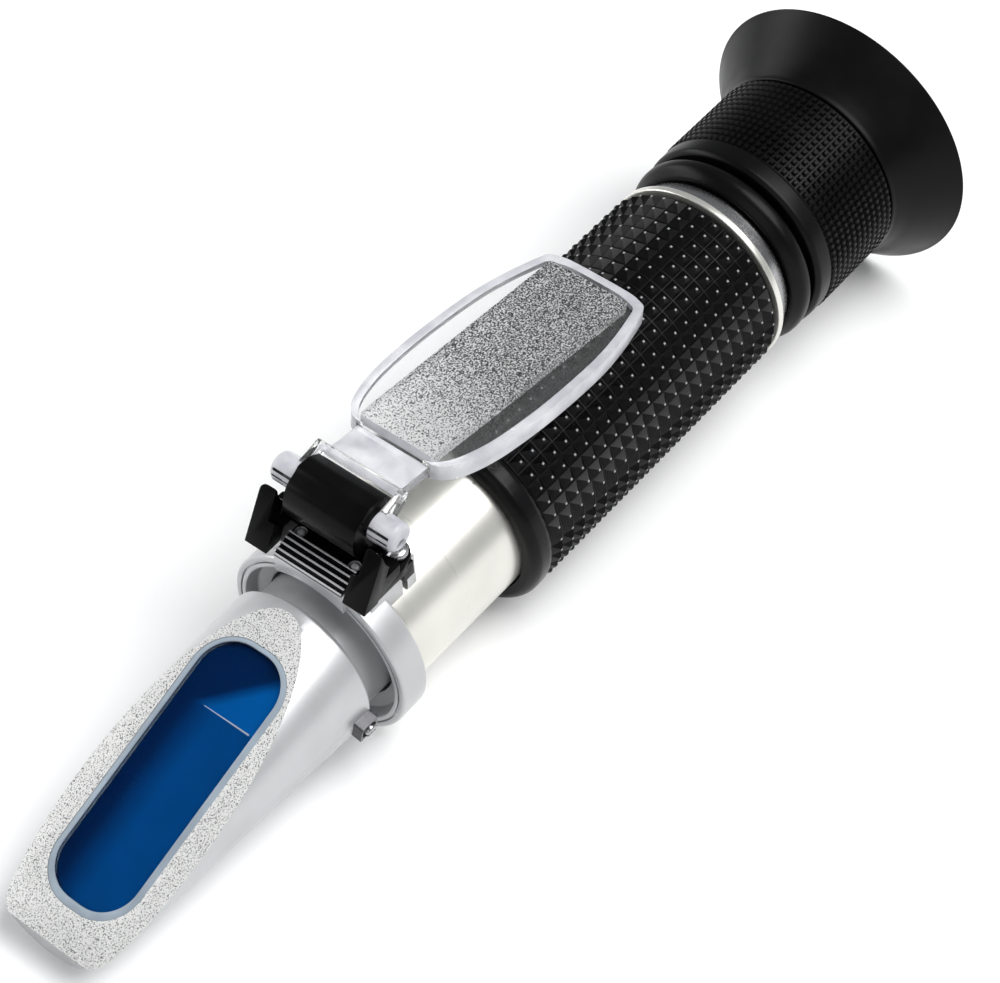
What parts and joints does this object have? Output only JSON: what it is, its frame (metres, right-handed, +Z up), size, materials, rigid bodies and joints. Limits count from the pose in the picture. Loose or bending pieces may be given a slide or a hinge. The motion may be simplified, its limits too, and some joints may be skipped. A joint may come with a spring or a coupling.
{
  "type": "handheld refractometer",
  "caption": "Handheld optical refractometer for wort and must: slanted prism nose, hinged clear daylight cover, tube in a studded rubber grip, focusing eyepiece with a flared rubber eyecup.",
  "frame": {"origin": "middle of the object's box at the height of the surface that it lies on, under the optical axis", "axes": "+X along the optical axis towards the eyepiece, +Y to the left seen from the eyepiece, across the hinge, +Z up, the way the prism face looks"},
  "size_m": [0.158, 0.0406, 0.0449],
  "materials": {
    "satin_aluminium": "fine bead-blasted satin, bare",
    "bright_aluminium": "bright satin, turned",
    "black_anodised": "black anodised aluminium, satin, knurled where gripped",
    "black_plastic": "gloss black moulded",
    "grip_rubber": "black rubber with pyramid studs",
    "cup_rubber": "smooth satin black rubber",
    "clear_plastic": "clear polycarbonate with a frosted pad",
    "prism_glass": "polished optical glass, looks blue",
    "blue_filter": "blue filter",
    "seal": "pale sealing cement",
    "steel": "plain stainless",
    "brass": "spring brass, bare",
    "lens_glass": "coated optical glass"
  },
  "bodies": {
    "housing": {"prism_housing": "satin_aluminium", "prism": "prism_glass", "prism_seal": "seal", "blue_filter": "blue_filter", "hinge_collar": "satin_aluminium", "collar_screw": "steel", "hinge_block": "black_plastic", "hinge_pin": "steel", "hinge_screw_left": "steel", "hinge_screw_right": "steel", "detent_strip": "steel", "strip_screw_left": "steel", "strip_screw_right": "steel", "main_tube": "bright_aluminium", "objective_lens": "lens_glass", "objective_ring": "black_anodised", "light_baffle": "black_anodised", "bimetal_strip": "brass", "bimetal_screw": "brass", "rubber_grip": "grip_rubber", "trim_ring": "bright_aluminium", "rear_ring": "satin_aluminium", "reticle": "lens_glass", "reticle_ring": "black_anodised", "eyepiece_sleeve": "black_anodised"},
    "cover": {"daylight_cover": "clear_plastic"},
    "focus": {"focus_ring": "black_anodised", "eyecup": "cup_rubber"},
    "lens_group": {"lens_cell": "black_anodised", "field_lens": "lens_glass", "lens_spacer": "black_anodised", "eye_lens": "lens_glass", "lens_retainer": "black_anodised"},
    "calibration": {"calibration_screw": "steel"}
  },
  "joints": [
    {"name": "cover_hinge", "type": "hinge", "parent": "housing", "child": "cover", "pos_m": [-0.0248, 0, 0.04075], "axis": [0, -1, 0], "range_deg": [0, 208.8]},
    {"name": "focus_turn", "type": "hinge", "parent": "housing", "child": "focus", "pos_m": [0.0612, 0, 0.02035], "axis": [1, 0, 0], "range_deg": [-120, 120]},
    {"name": "lens_travel", "type": "slide", "parent": "housing", "child": "lens_group", "axis": [1, 0, 0], "range_m": [-0.001, 0.001]},
    {"name": "calibration_turn", "type": "hinge", "parent": "housing", "child": "calibration", "pos_m": [-0.0355, -0.01076, 0.01806], "axis": [0, -0.9781, -0.2079], "range_deg": [-180, 180]}
  ],
  "couplings": [
    {"joint": "lens_travel", "follows": "focus_turn", "m_per_rad": 0.000477}
  ]
}
